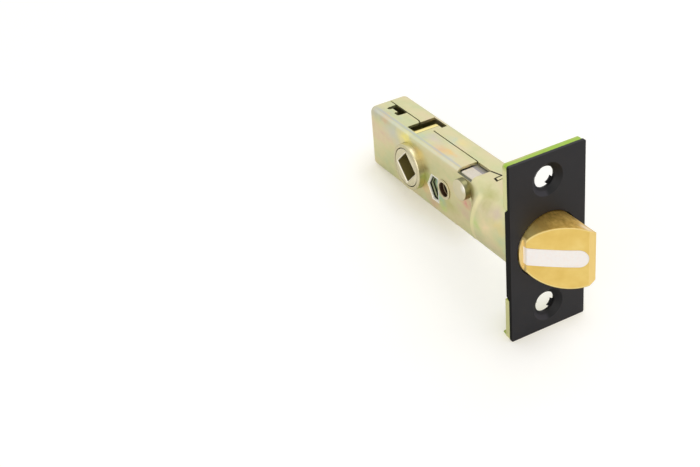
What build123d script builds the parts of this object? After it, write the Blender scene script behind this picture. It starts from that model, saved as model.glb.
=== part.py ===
from build123d import *
import math
import os

# Frame: origin at the centre of the face plate's front face. +X points out of the door edge, +Z is up
# and +Y is to the right seen from the front. All sizes are in millimetres.

# Face plate and back plate
plate_w = 25.4
plate_h = 57.15
face_t = 1.0
face_corner_r = 0.5
back_t = 1.8
back_corner_r = 1.0
tab_t = 0.8
tab_reach = 2.2
tab_half_h = 15.0
tab_slant = 1.2
screw_pitch = 41.275
screw_hole_r = 3.3
screw_rim_r = 5.1
screw_dish = 1.5
cup_wall = 1.25
cup_end_x = -2.6
cup_relief = 0.2
cup_gap = 0.05
tooth_t = 0.35
tooth_tip_r = 2.45
tooth_w = 2.4
upper_teeth_angle = 137
lower_teeth_angle = 147
foot_y = (-12.4, -8.9)
foot_rise = 0.28
foot_h = 1.5
foot_reach = 1.6
foot_round = 0.7

# Case shell, one blank folded at the rear and rolled at the front
sheet_t = 0.9
backset = 60.0
case_w = 14.0
case_h = 21.1
case_bend_r = 2.0
case_rear_x = -84.6
rear_bend_r = 1.7
flap_gap = 0.2
neck_x = (-27.2, -21.8)
barrel_r = 11.2
tenon_arc = 26
tenon_angles = (45, 135, 225, 315)

# Seam and windows of the case shell
seam_w = 0.38
seam_y = 0.25
butt_w = 0.12
rear_seam = ((case_rear_x - 0.2, seam_y), (-66.3, seam_y), (-64.9, -0.25))
middle_seam = ((-57.6, seam_y), (-34.2, seam_y))
front_seam = ((-27.3, 0.05), (-22.5, 0.65), (-22.5, -1.8), (-20.9, -2.1), (-20.9, 0.6), (-2.7, 0.6))
interlock_end = ((-22.5, 0.65), (-22.5, 1.9))
rear_window_x = (-65.1, -57.9)
rear_window_y = (-4.75, 5.2)
tongue_rear_x = -62.2
tongue_side_y = 3.3
tongue_bend_l = 2.2
front_window_x = -34.3
bottom_window_x = -36.5
window_sill_z = 9.3
cutout_x = (-79.85, -72.95)
cutout_y = -2.0
cutout_legs = ((-79.8, -78.2), (-74.8, -73.0))
cutout_leg_y = -3.3
cutout_hook = 0.7

# Hub and the collars that carry it
hub_face_y = 9.04
hub_r = 6.05
hub_gap = 0.3
collar_wall = 1.1
collar_flange = 0.5
collar_round = 0.35
square_side = 7.3
square_chamfer = 0.3
lobe_r = 9.15
nose_root_r = 6.4
lobe_y = (1.4, 5.2)
pin_clear = 0.15
hub_travel_deg = 78.0

# Bolt, its insert and the fork that pulls it
bolt_gap = 0.3
bolt_r = barrel_r - sheet_t - bolt_gap
bolt_rear_x = -12.0
bolt_taper_x = -9.0
bolt_taper = 2.4
bolt_tip_x = 12.8
bolt_travel = 12.4
land_x = 0.3
land_y = -8.6
slope_root_x = 1.7
slope_mid = (7.8, -2.05)
tip_y = (4.5, 6.5)
tip_bevel_x = 8.0
insert_w = 5.5
insert_end_y = 4.3
insert_depth = 1.8
insert_proud = 0.12
fork_t = 2.0
fork_bar_x = (-9.0, -4.0)
fork_inner_z = 6.5
fork_gap = 0.25
fork_rear_x = -56.0
pivot_x = -6.5
pivot_z = 5.5
pivot_r = 1.0
pivot_sunk = 0.15
drive_pin_r = 1.3
drive_pin_x = -53.8
drive_pin_z = 7.7
drive_pin_half_l = 5.3

# Guide, spring, rod and seat
guide_x = (-33.8, -25.1)
guide_half_h = 9.55
guide_groove = 0.15
guide_bore_r = 4.7
guide_nose_corner_r = 1.9
spring_mean_r = 3.75
spring_wire_r = 0.55
spring_turns = 10.5
bolt_bore_r = 4.8
rod_head_r = 4.5
rod_head_t = 1.2
rod_r = 2.4
rod_rear_x = -24.8
seat_t = 1.0
seat_half_h = 5.8
seat_hole_r = 2.6

# Screw sleeve, threaded bush and side stud
sleeve_x = -41.8
sleeve_bore_r = 2.35
sleeve_r = 2.85
sleeve_rim_r = 3.15
sleeve_rim_t = 0.3
bush_x = -47.6
bush_z = -2.1
bush_bore_r = 2.4
bush_r = 3.0
hex_sunk = 0.1
hex_t = 2.5
hex_wall = 0.3
socket_depth = 2.1
hex_left = 3.3
hex_right = 2.5
hex_half_h = 4.15
hex_slant = 2.4
stud_x = -30.5
stud_z = 5.9
stud_r = 3.3
stud_proud = 2.04
stud_round = 0.4
stud_shank_r = 2.2
stud_shank_l = 2.4

# Places that follow from the sizes above
half_w = case_w / 2
half_h = case_h / 2
inner_w = half_w - sheet_t
inner_h = half_h - sheet_t
barrel_bore_r = barrel_r - sheet_t
bolt_hole_r = bolt_r + bolt_gap
back_x = -face_t - back_t
neck_angle = math.atan2(barrel_r - half_w, neck_x[1] - neck_x[0])
neck_shift = sheet_t * math.tan(neck_angle / 2)
cup_r = screw_hole_r + cup_wall
hex_y = -half_w + hex_sunk
collar_bore_r = hub_r + hub_gap
collar_r = collar_bore_r + collar_wall
seat_x = sleeve_x + sleeve_r
bolt_bore_x = fork_bar_x[0]
fork_arm_z = (fork_inner_z, min(inner_h, barrel_bore_r) - fork_gap)
pivot_half_l = math.sqrt((bolt_r - pivot_sunk) ** 2 - (pivot_z + pivot_r) ** 2)
spring_front_x = bolt_bore_x - rod_head_t
chord = math.hypot(bolt_tip_x - slope_root_x, tip_y[0] - land_y)
slope_normal = ((tip_y[0] - land_y) / chord, -(bolt_tip_x - slope_root_x) / chord)


def block(x, y, z):
    """Make a block from its (low, high) limits on each axis."""
    size = [b - a for a, b in (x, y, z)]
    middle = [(a + b) / 2 for a, b in (x, y, z)]
    return Pos(*middle) * Box(*size)


def rod_along_x(r, x0, x1, y=0, z=0):
    """Make a cylinder along X."""
    return Pos((x0 + x1) / 2, y, z) * Rot(0, 90, 0) * Cylinder(r, abs(x1 - x0))


def rod_along_y(r, y0, y1, x, z):
    """Make a cylinder along Y."""
    return Pos(x, (y0 + y1) / 2, z) * Rot(90, 0, 0) * Cylinder(r, abs(y1 - y0))


def side_prism(points, y0, y1, inset=0):
    """Extrude an outline of (x, z) points from y0 to y1, drawn in by inset."""
    face = make_face(Polyline(*[(x, y0, z) for x, z in points], close=True))
    if inset:
        face = offset(face, amount=-inset, kind=Kind.INTERSECTION)
    return extrude(face, amount=y1 - y0, dir=(0, 1, 0))


def top_prism(edges, z0, z1):
    """Extrude an outline drawn in the XY plane from z0 to z1."""
    return Pos(0, 0, z0) * extrude(make_face(edges), amount=z1 - z0)


def plate_blank(x0, t, corner_r):
    """Make a plate of the common outline, t thick, with its rear face at x0."""
    return extrude(Plane.YZ.offset(x0) * RectangleRounded(plate_w, plate_h, corner_r), amount=t)


def side_recesses():
    """Make the two side spaces in which the face plate's tabs lie."""
    recesses = []
    for side in (-1, 1):
        y = sorted((side * (plate_w / 2 - tab_t), side * (plate_w / 2 + 1)))
        recesses.append(block((back_x - 1, -face_t), y, (-tab_half_h, tab_half_h)))
    return recesses


def screw_axes():
    """Give the z of both screw holes."""
    return (-screw_pitch / 2, screw_pitch / 2)


def build_face_plate():
    """Black cover plate with dished screw holes and two tabs folded back round the back plate."""
    part = plate_blank(-face_t, face_t, face_corner_r)
    for side in (-1, 1):
        y0 = side * (plate_w / 2 - tab_t)
        outline = [
            (-face_t, -tab_half_h),
            (-tab_reach, -tab_half_h + tab_slant),
            (-tab_reach, tab_half_h - tab_slant),
            (-face_t, tab_half_h),
        ]
        y1 = side * plate_w / 2
        part += side_prism(outline, min(y0, y1), max(y0, y1))
    part -= rod_along_x(bolt_hole_r, -face_t - 1, 1)
    for z in screw_axes():
        part += rod_along_x(cup_r, cup_end_x, -face_t, z=z)
        part -= Pos(-screw_dish / 2, 0, z) * Rot(0, 90, 0) * Cone(screw_hole_r, screw_rim_r, screw_dish)
        part -= rod_along_x(screw_hole_r, cup_end_x, 0, z=z)
        part -= rod_along_x(screw_hole_r + cup_relief, cup_end_x, cup_end_x + tooth_t, z=z)
        part += screw_teeth(z)
    return part


def screw_teeth(z):
    """Make the two teeth at the rear edge of a screw cup, which point inwards and bite the screw."""
    teeth = []
    first = upper_teeth_angle if z > 0 else lower_teeth_angle
    for angle in (first, first + 180):
        tooth = block((cup_end_x, cup_end_x + tooth_t), (0, cup_r), (-tooth_w / 2, tooth_w / 2))
        tooth = Pos(0, 0, z) * Rot(angle, 0, 0) * tooth
        tooth &= rod_along_x(cup_r - cup_wall / 2, cup_end_x, -face_t, z=z)
        teeth.append(tooth - rod_along_x(tooth_tip_r, cup_end_x, -face_t, z=z))
    return teeth


def tenons(x0, x1):
    """Make the four short arcs by which the barrel is held in the back plate."""
    ring = rod_along_x(barrel_r, x0, x1) - rod_along_x(barrel_bore_r, x0, x1)
    arcs = []
    for angle in tenon_angles:
        reach = 2 * barrel_r
        spread = reach * math.tan(math.radians(tenon_arc / 2))
        wedge = make_face(Polyline((0, 0, 0), (0, reach, -spread), (0, reach, spread), close=True))
        wedge = Pos(x0, 0, 0) * extrude(wedge, amount=x1 - x0, dir=(1, 0, 0))
        arcs.append(ring & (Rot(angle, 0, 0) * wedge))
    return arcs


def build_back_plate():
    """Plated back plate with holes for the screw cups, tab recesses and a small curled foot."""
    part = plate_blank(back_x, back_t, back_corner_r)
    for recess in side_recesses():
        part -= recess
    part -= rod_along_x(barrel_bore_r, back_x - 1, 0)
    for tenon in tenons(back_x, -face_t):
        part -= tenon
    for z in screw_axes():
        part -= rod_along_x(cup_r + cup_gap, back_x, -face_t, z=z)
    foot_z = foot_rise - plate_h / 2
    foot = block((back_x - foot_reach, back_x), foot_y, (foot_z, foot_z + foot_h))
    foot = fillet(foot.edges().filter_by(Axis.Y).group_by(Axis.X)[0], foot_round)
    return part + foot


def section_x(w, h, r, x0, x1):
    """Make a bar of rounded rectangular section from x0 to x1."""
    return extrude(Plane.YZ.offset(x0) * RectangleRounded(w, h, r), amount=x1 - x0)


def slot_path(points, width):
    """Make the cutters of a narrow slot through the top of the shell along a path of (x, y) points."""
    cutters = []
    for (xa, ya), (xb, yb) in zip(points, points[1:]):
        length = math.hypot(xb - xa, yb - ya)
        angle = math.degrees(math.atan2(yb - ya, xb - xa))
        middle = Pos((xa + xb) / 2, (ya + yb) / 2, half_h + 0.2)
        cutters.append(middle * Rot(0, 0, angle) * Box(length + width, width, 2.4))
    return cutters


def folded_box():
    """Box end of the shell, with its rear closed by a flap folded round from the near side."""
    outer = section_x(case_w, case_h, case_bend_r, case_rear_x, neck_x[0])
    bend = [e for e in outer.edges() if abs(e.center().X - case_rear_x) < 0.01 and e.center().Y < -half_w + 0.01]
    outer = fillet(bend, rear_bend_r)
    inner = section_x(2 * inner_w, 2 * inner_h, case_bend_r - sheet_t, case_rear_x + sheet_t, neck_x[0])
    part = outer - inner
    depth = (case_rear_x - 1, case_rear_x + sheet_t)
    for side in (-1, 1):
        z = sorted((side * inner_h, side * (inner_h - flap_gap)))
        part -= block(depth, (-inner_w + 1, inner_w), z)
    part -= block(depth, (inner_w - flap_gap, inner_w), (-inner_h, inner_h))
    return part


def neck(half_y, half_z, corner_r, round_r, shift):
    """Loft from the box's section to the barrel's circle, as a ruled solid."""
    box_end = Plane.YZ.offset(neck_x[0] + shift) * RectangleRounded(2 * half_y, 2 * half_z, corner_r)
    round_end = Plane.YZ.offset(neck_x[1] + shift) * Circle(round_r)
    return loft([box_end, round_end], ruled=True)


def rolled_barrel():
    """Round front of the shell, with the neck that flares out to it from the box."""
    part = rod_along_x(barrel_r, neck_x[1], back_x) + neck(half_w, half_h, case_bend_r, barrel_r, 0)
    part -= rod_along_x(barrel_bore_r, neck_x[1] + neck_shift, back_x)
    part -= neck(inner_w, inner_h, case_bend_r - sheet_t, barrel_bore_r, neck_shift)
    part -= section_x(2 * inner_w, 2 * inner_h, case_bend_r - sheet_t, neck_x[0], neck_x[0] + neck_shift)
    for tenon in tenons(back_x, -face_t):
        part += tenon
    return part


def top_openings():
    """Make the cutters of the windows, the cut-out and the seam in the top and bottom."""
    z = (inner_h - 0.05, half_h + 1)
    cutters = [
        block((rear_window_x[0], tongue_rear_x), rear_window_y, z),
        block((tongue_rear_x - 0.1, rear_window_x[1]), (tongue_side_y, rear_window_y[1]), z),
        block(cutout_x, (cutout_y, seam_y), z),
        block((front_window_x, neck_x[0]), (-half_w - 1, seam_y), (window_sill_z, half_h + 1)),
        block((bottom_window_x, neck_x[0]), (-half_w - 1, seam_y), (-half_h - 1, -window_sill_z)),
    ]
    for x0, x1 in cutout_legs:
        round_r = (x1 - x0) / 2
        cutters.append(block((x0, x1), (cutout_leg_y + round_r, cutout_y), z))
        cutters.append(Pos((x0 + x1) / 2, cutout_leg_y + round_r, half_h) * Cylinder(round_r, 3))
    hook_x = cutout_legs[1][0]
    cutters.append(Pos(hook_x, cutout_leg_y + cutout_hook, half_h) * Cylinder(cutout_hook, 3))
    for path in (rear_seam, middle_seam, front_seam, interlock_end):
        cutters += slot_path(path, seam_w)
    cutters += slot_path(((rear_window_x[1], seam_y), (rear_window_x[1], tongue_side_y)), butt_w)
    return cutters


def tongue_bend():
    """Rounded rear edge of the tongue in the rear window."""
    start_y = rear_window_y[0]
    plane = Plane(origin=(tongue_rear_x, start_y, inner_h), x_dir=(1, 0, 0), z_dir=(0, -1, 0))
    bend = EllipticalCenterArc((tongue_bend_l, 0), tongue_bend_l, sheet_t, 90, arc_size=90)
    rest = Polyline((0, 0), (tongue_bend_l, 0), (tongue_bend_l, sheet_t))
    return extrude(plane * make_face([bend, rest]), amount=start_y - tongue_side_y)


def hex_outline():
    """Outline of the six-sided head, cut short beside the sleeve, as (x, z) points."""
    left = bush_x - hex_left
    right = bush_x + hex_right
    return [
        (left, bush_z),
        (left + hex_slant, bush_z + hex_half_h),
        (right, bush_z + hex_half_h),
        (right, bush_z - hex_half_h),
        (left + hex_slant, bush_z - hex_half_h),
    ]


def build_case_shell():
    """One blank of plated sheet: folded box, rolled barrel, seam, interlock, windows and holes."""
    part = folded_box() + rolled_barrel()
    for cutter in top_openings():
        part -= cutter
    tongue_y = (rear_window_y[0], tongue_side_y)
    part -= block((tongue_rear_x - 0.1, tongue_rear_x + tongue_bend_l), tongue_y, (inner_h - 0.1, half_h + 1))
    part += tongue_bend()
    part -= rod_along_y(collar_r, -half_w - 1, half_w + 1, -backset, 0)
    part -= rod_along_y(sleeve_r, -half_w - 1, half_w + 1, sleeve_x, 0)
    part -= rod_along_y(bush_r, inner_w - 1, half_w + 1, bush_x, bush_z)
    part -= side_prism(hex_outline(), -half_w - 1, -inner_w + 0.5)
    part -= rod_along_y(stud_shank_r, -half_w - 1, -inner_w + 1, stud_x, stud_z)
    return part


def build_collar(side):
    """Round collar in one side wall, flanged on the inside."""
    inner_y = side * (inner_w - collar_flange)
    outer_y = side * hub_face_y
    part = rod_along_y(collar_r, inner_y, outer_y, -backset, 0)
    rim = [e for e in part.edges().filter_by(GeomType.CIRCLE) if abs(e.center().Y - outer_y) < 0.01]
    part = fillet(rim, collar_round)
    part += rod_along_y(collar_r + collar_flange, inner_y, side * inner_w, -backset, 0)
    return part - rod_along_y(collar_bore_r, inner_y, outer_y, -backset, 0)


def pin_path(steps=24):
    """Places of the upper drive pin seen from the turning hub, as (x, z) from the hub's axis."""
    start_x = backset + drive_pin_x
    places = []
    for i in range(steps + 1):
        share = i / steps
        angle = math.radians(hub_travel_deg) * share
        x = start_x - bolt_travel * share
        turned_x = math.cos(angle) * x + math.sin(angle) * drive_pin_z
        turned_z = -math.sin(angle) * x + math.cos(angle) * drive_pin_z
        places.append((turned_x, turned_z))
    return places


def nose_reach(r):
    """Largest angle that the hub's nose may fill at radius r and still clear the upper pin's path."""
    clear = drive_pin_r + pin_clear
    limits = []
    for x, z in pin_path():
        far = math.hypot(x, z)
        share = (r * r + far * far - clear * clear) / (2 * r * far)
        if share < 1:
            limits.append(math.atan2(z, x) - math.acos(share))
    return min(limits)


def nose_outline():
    """Outline of the hub's nose as (x, z) points, the same above and below the hub's axis."""
    radii = [nose_root_r + (lobe_r + 0.2 - nose_root_r) * i / 8 for i in range(9)]
    flank = [(r * math.cos(nose_reach(r)), r * math.sin(nose_reach(r))) for r in radii]
    points = [(0, 0)] + flank + [(x, -z) for x, z in reversed(flank)]
    return [(x - backset, z) for x, z in points]


def build_hub():
    """Hub with a diamond-set square hole and a nose on each side of the fork that pushes the pins."""
    part = rod_along_y(hub_r, -hub_face_y, hub_face_y, -backset, 0)
    for side in (-1, 1):
        y0, y1 = sorted((side * lobe_y[0], side * lobe_y[1]))
        part += rod_along_y(lobe_r, y0, y1, -backset, 0) & side_prism(nose_outline(), y0, y1)
    part -= Pos(-backset, 0, 0) * Rot(0, 45, 0) * Box(square_side, 2 * hub_face_y + 2, square_side)
    straight = part.edges().filter_by(GeomType.LINE)
    return chamfer([e for e in straight if abs(abs(e.center().Y) - hub_face_y) < 0.01], square_chamfer)


def bolt_profile(shift=0):
    """Bolt outline seen from above as a tall prism, moved by shift along the slope's normal."""
    root = (slope_root_x, land_y)
    tip = (bolt_tip_x, tip_y[0])
    corners = [tip, (bolt_tip_x, tip_y[1]), (tip_bevel_x, bolt_r), (bolt_rear_x, bolt_r)]
    rest = Polyline(*corners, (bolt_rear_x, -bolt_r), (land_x, -bolt_r), (land_x, land_y), root)
    slope = ThreePointArc(root, slope_mid, tip)
    prism = top_prism([slope, rest], -bolt_r, bolt_r)
    return Pos(shift * slope_normal[0], shift * slope_normal[1], 0) * prism


def insert_outline():
    """Tall prism of the insert's outline, seen square to the slope, with a round end near the tip."""
    tangent = Vector(-slope_normal[1], slope_normal[0], 0)
    normal = Vector(slope_normal[0], slope_normal[1], 0)
    end = Vector(bolt_tip_x, tip_y[0], 0) - tangent * (tip_y[0] - insert_end_y + insert_w / 2)
    plane = Plane(origin=end - normal * bolt_r, x_dir=tangent, z_dir=normal)
    length = chord + bolt_r
    bar = Pos(-length / 2, 0) * Rectangle(length, insert_w)
    return extrude(plane * (bar + Circle(insert_w / 2)), amount=2 * bolt_r)


def insert_space(proud):
    """Space of the insert in the bolt, from its bottom up to a height above the slope."""
    space = insert_outline() & bolt_profile(proud)
    space -= bolt_profile(-insert_depth)
    return space & block((slope_root_x - 3, bolt_tip_x + 3), (land_y, insert_end_y), (-bolt_r, bolt_r))


def build_latch_bolt():
    """Turned brass bolt with its slope, tip land, rear slot, spring bore and cross holes."""
    part = rod_along_x(bolt_r, bolt_taper_x, bolt_tip_x)
    taper_l = bolt_taper_x - bolt_rear_x
    part += Pos(bolt_taper_x - taper_l / 2, 0, 0) * Rot(0, 90, 0) * Cone(bolt_r - bolt_taper, bolt_r, taper_l)
    part &= bolt_profile()
    part -= insert_space(2)
    arm_z = fork_arm_z[1]
    part -= block((bolt_rear_x - 1, fork_bar_x[1]), (-fork_t / 2, fork_t / 2), (-arm_z, arm_z))
    part -= rod_along_x(bolt_bore_r, bolt_rear_x - 1, bolt_bore_x)
    for z in (-pivot_z, pivot_z):
        part -= rod_along_y(pivot_r, -bolt_r, bolt_r, pivot_x, z)
    return part


def build_bolt_insert():
    """White low-friction strip let into the slope."""
    return insert_space(insert_proud)


def build_bolt_fork():
    """Flat steel fork: a crossbar in the bolt and two arms back to the hub."""
    y = (-fork_t / 2, fork_t / 2)
    part = block(fork_bar_x, y, (-fork_arm_z[1], fork_arm_z[1]))
    for side in (-1, 1):
        z = sorted((side * fork_arm_z[0], side * fork_arm_z[1]))
        arm = block((fork_rear_x, fork_bar_x[0]), y, z)
        part += fillet(arm.edges().filter_by(Axis.Y).group_by(Axis.X)[0], 1.0)
    for z in (-pivot_z, pivot_z):
        part -= rod_along_y(pivot_r, y[0], y[1], pivot_x, z)
    for z in (-drive_pin_z, drive_pin_z):
        part -= rod_along_y(drive_pin_r * 0.7, y[0], y[1], drive_pin_x, z)
    return part


def build_bolt_pins():
    """Two cross pins that fix the fork in the bolt."""
    pins = [rod_along_y(pivot_r, -pivot_half_l, pivot_half_l, pivot_x, z) for z in (-pivot_z, pivot_z)]
    return Compound(children=pins)


def build_drive_pin(side):
    """Stepped cross pin at the end of one fork arm."""
    z = side * drive_pin_z
    part = rod_along_y(drive_pin_r * 0.7, -fork_t / 2, fork_t / 2, drive_pin_x, z)
    part += rod_along_y(drive_pin_r, -drive_pin_half_l, -fork_t / 2, drive_pin_x, z)
    return part + rod_along_y(drive_pin_r, fork_t / 2, drive_pin_half_l, drive_pin_x, z)


def build_spring_rod():
    """Rod with a head on which the spring pushes."""
    return rod_along_x(rod_head_r, spring_front_x, bolt_bore_x) + rod_along_x(rod_r, rod_rear_x, spring_front_x)


def build_spring_seat():
    """Cross plate in front of the sleeve on which the spring's rear end bears."""
    part = block((seat_x, seat_x + seat_t), (-inner_w, inner_w), (-seat_half_h, seat_half_h))
    return part - rod_along_x(seat_hole_r, seat_x - 1, seat_x + seat_t + 1)


def build_bolt_spring():
    """Coil spring that pushes the bolt out, drawn at its length with the bolt out."""
    x0 = seat_x + seat_t + spring_wire_r
    x1 = spring_front_x - spring_wire_r
    path = Helix(pitch=(x1 - x0) / spring_turns, height=x1 - x0, radius=spring_mean_r)
    start = Plane(origin=path @ 0, z_dir=path % 0)
    coil = sweep(start * Circle(spring_wire_r), path=path)
    return Pos(x0, 0, 0) * Rot(0, 90, 0) * coil


def build_bolt_guide():
    """White block that fills the front of the box and guides the fork's arms."""
    size = (2 * inner_w, 2 * guide_half_h)
    part = section_x(*size, case_bend_r - sheet_t, guide_x[0], neck_x[0])
    part += section_x(*size, guide_nose_corner_r, neck_x[0], guide_x[1])
    part -= rod_along_x(guide_bore_r, guide_x[0] - 1, guide_x[1] + 1)
    half = fork_t / 2 + guide_groove
    for side in (-1, 1):
        z = sorted((side * (fork_arm_z[0] - guide_groove), side * (barrel_r + 1)))
        part -= block((guide_x[0] - 1, guide_x[1] + 1), (-half, half), z)
    shank_y = -half_w + stud_shank_l
    return part - rod_along_y(stud_shank_r, -half_w, shank_y, stud_x, stud_z)


def build_screw_sleeve():
    """Plain sleeve across the case with a spun rim at each end."""
    part = rod_along_y(sleeve_r, -half_w, half_w, sleeve_x, 0)
    for side in (-1, 1):
        part += rod_along_y(sleeve_rim_r, side * half_w, side * (half_w + sleeve_rim_t), sleeve_x, 0)
    end_y = half_w + sleeve_rim_t + 1
    return part - rod_along_y(sleeve_bore_r, -end_y, end_y, sleeve_x, 0)


def build_threaded_bush():
    """Bush with a hollow six-sided head in the near wall and a bore for a machine screw."""
    part = rod_along_y(bush_r, hex_y + hex_t, half_w, bush_x, bush_z)
    part += side_prism(hex_outline(), hex_y, hex_y + hex_t)
    part -= side_prism(hex_outline(), hex_y, hex_y + socket_depth, inset=hex_wall)
    return part - rod_along_y(bush_bore_r, hex_y + socket_depth, half_w, bush_x, bush_z)


def build_side_stud():
    """Round stud on the near side, with its shank in the guide."""
    head_y = -half_w - stud_proud
    part = rod_along_y(stud_r, head_y, -half_w, stud_x, stud_z)
    rim = [e for e in part.edges().filter_by(GeomType.CIRCLE) if abs(e.center().Y - head_y) < 0.01]
    part = fillet(rim, stud_round)
    return part + rod_along_y(stud_shank_r, -half_w, -half_w + stud_shank_l, stud_x, stud_z)


parts = {
    "face_plate": build_face_plate(),
    "back_plate": build_back_plate(),
    "case_shell": build_case_shell(),
    "near_collar": build_collar(-1),
    "far_collar": build_collar(1),
    "hub": build_hub(),
    "latch_bolt": build_latch_bolt(),
    "bolt_insert": build_bolt_insert(),
    "bolt_fork": build_bolt_fork(),
    "bolt_pins": build_bolt_pins(),
    "upper_drive_pin": build_drive_pin(1),
    "lower_drive_pin": build_drive_pin(-1),
    "spring_rod": build_spring_rod(),
    "spring_seat": build_spring_seat(),
    "bolt_spring": build_bolt_spring(),
    "bolt_guide": build_bolt_guide(),
    "screw_sleeve": build_screw_sleeve(),
    "threaded_bush": build_threaded_bush(),
    "side_stud": build_side_stud(),
}

os.makedirs("parts", exist_ok=True)
for name, shape in parts.items():
    export_step(shape, f"parts/{name}.step")
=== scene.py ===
# %% [markdown]
# # A tubular passage latch on a white table
#
# A passage latch keeps a door shut without locking it. Its case is folded and rolled from one blank of
# sheet and plated with yellow zinc. It has a matt black face plate at one end, and a brass bolt slides
# through that. The solids come from the imported CAD model, with the origin in the middle of the plate's
# front and +X out of the door's edge. This lesson gives each solid its finish, adds the thread and the
# spring, and lights the whole as on a photographer's table. The first cell loads the solids. Lengths are
# in metres, so a helper turns millimetres into metres.

# %% Load the frame
import math

import bmesh
import bpy
import numpy as np
from mathutils import Matrix, Vector


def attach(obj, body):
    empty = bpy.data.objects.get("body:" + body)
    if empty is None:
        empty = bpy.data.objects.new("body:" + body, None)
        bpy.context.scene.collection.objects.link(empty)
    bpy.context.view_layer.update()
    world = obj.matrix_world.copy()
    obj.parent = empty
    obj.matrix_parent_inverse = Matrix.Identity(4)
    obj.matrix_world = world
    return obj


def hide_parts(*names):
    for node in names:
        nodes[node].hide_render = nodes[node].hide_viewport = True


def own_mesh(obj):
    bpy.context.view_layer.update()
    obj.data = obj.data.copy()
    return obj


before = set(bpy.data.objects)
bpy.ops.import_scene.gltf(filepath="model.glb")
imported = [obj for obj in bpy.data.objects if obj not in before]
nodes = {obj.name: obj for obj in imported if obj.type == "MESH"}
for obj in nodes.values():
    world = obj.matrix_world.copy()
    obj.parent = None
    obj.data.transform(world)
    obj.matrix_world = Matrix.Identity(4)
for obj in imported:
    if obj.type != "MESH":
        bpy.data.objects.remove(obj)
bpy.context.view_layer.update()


def mm(value):
    """Turn millimetres into metres."""
    return value * 0.001


print("pieces from the solids:", len(nodes))

# %% [markdown]
# ## The camera
#
# The camera stands where the photograph's camera stood. Its place and its angle of view were worked
# out from the sizes of the plate, the case and the hub and from where their corners lie in the
# picture. A camera in Blender looks along its own -Z, with its own +Y up, so its matrix is built from
# three directions: right, up and back. Its lens follows from the distance of the picture plane, which
# the same work gives in pixels.

# %% Camera
camera_place = Vector((mm(256.61), mm(-190.99), mm(209.9)))
camera_right = Vector((0.49551, 0.86495, -0.07959))
camera_up = Vector((-0.43382, 0.32582, 0.84002))
camera_back = Vector((0.75251, -0.38171, 0.53668))
focal_pixels, picture_pixels, sensor_width = 1369, 700, 36

camera_data = bpy.data.cameras.new("camera")
camera_data.sensor_width = sensor_width
camera_data.lens = focal_pixels * sensor_width / picture_pixels
camera_data.clip_start = 0.01
camera = bpy.data.objects.new("camera", camera_data)
turn = Matrix((camera_right, camera_up, camera_back)).transposed()
camera.matrix_world = Matrix.Translation(camera_place) @ turn.to_4x4()
bpy.context.scene.collection.objects.link(camera)
bpy.context.scene.camera = camera
print("focal length in mm:", round(camera_data.lens, 1))

# %% [markdown]
# ## Nodes
#
# Every material is a small tree of nodes, and one function adds a node with its settings and links.
# An input that is given a node or a socket is linked, and any other value is set on the input itself.
# Colours are written as the hex values that a picture editor shows, and one function turns them into
# the linear values that Blender works with.

# %% Colours and nodes
def linear(hex_colour):
    """Turn an sRGB hex colour into linear RGBA."""
    channels = [int(hex_colour[i:i + 2], 16) / 255 for i in (1, 3, 5)]
    return [c / 12.92 if c <= 0.04045 else ((c + 0.055) / 1.055) ** 2.4 for c in channels] + [1.0]


def add(tree, kind, inputs=(), stops=(), **settings):
    """Add a node. Its inputs are given in order or by name, a colour ramp also has stops, which are
    (place, hex colour), and everything else is a setting of the node."""
    node = tree.nodes.new("ShaderNode" + kind)
    for name, value in settings.items():
        setattr(node, name, value)
    for place, value in inputs.items() if isinstance(inputs, dict) else enumerate(inputs):
        if isinstance(value, bpy.types.Node):
            value = value.outputs[0]
        if isinstance(value, bpy.types.NodeSocket):
            tree.links.new(value, node.inputs[place])
        else:
            node.inputs[place].default_value = value
    if stops:
        band = node.color_ramp.elements
        while len(band) < len(stops):
            band.new(0.5)
        for stop, (place, colour) in zip(band, stops):
            stop.position = place
            stop.color = linear(colour)
    return node


def new_material(name):
    """Start an empty material. Give it with its tree and the piece's own coordinates."""
    made = bpy.data.materials.new(name)
    made.use_nodes = True
    tree = made.node_tree
    tree.nodes.clear()
    return made, tree, add(tree, "TexCoord").outputs["Object"]


print("a mid grey in linear light:", round(linear("#808080")[0], 3))

# %% [markdown]
# ## Patterns with real sizes
#
# Grain, pebbles and clouds are noise, and what tells them apart is the size of their lumps and how far
# they are drawn out, so both are given in millimetres. A cut edge of real metal is never quite sharp
# and catches a thin line of light. Rounding it in the mesh would change the solid, so the shader rounds
# it instead, and the bump of the pattern lies on top.

# %% Lumps and bumps
def lumps(tree, coords, size, detail=3.0, stretch=(1, 1, 1), roughness=0.5):
    """Noise with lumps size millimetres wide, drawn out by stretch along X, Y and Z."""
    moved = add(tree, "Mapping", {"Vector": coords, "Scale": [1 / length for length in stretch]})
    cloudy = {"Vector": moved, "Scale": 1 / mm(size), "Detail": detail, "Roughness": roughness}
    return add(tree, "TexNoise", cloudy)


def rounded_bump(tree, height, depth, edge):
    """A bump depth millimetres high over edges that look rounded by edge millimetres."""
    soft_edge = add(tree, "Bevel", {"Radius": mm(edge)}, samples=4)
    raised = {"Height": height, "Distance": mm(depth), "Strength": 1.0, "Normal": soft_edge}
    return add(tree, "Bump", raised)


print("lumps in a metre of 0.5 mm grain:", round(1 / mm(0.5)))

# %% [markdown]
# ## Places on a piece
#
# A band of film colour, a painted highlight on an edge or painted shade on one side belongs to one
# place on a piece. An image could paint it there, but then it would need a flat map of the piece. Here a
# place is a box with soft sides, measured on the piece's own coordinates: inside it a share is 1,
# outside it is 0, and shares that are multiplied leave only what all of them cover. A table then says
# which colour each place takes.

# %% Soft boxes and bands of colour
far = 40.0  # an upper limit that nothing on the latch reaches


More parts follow.
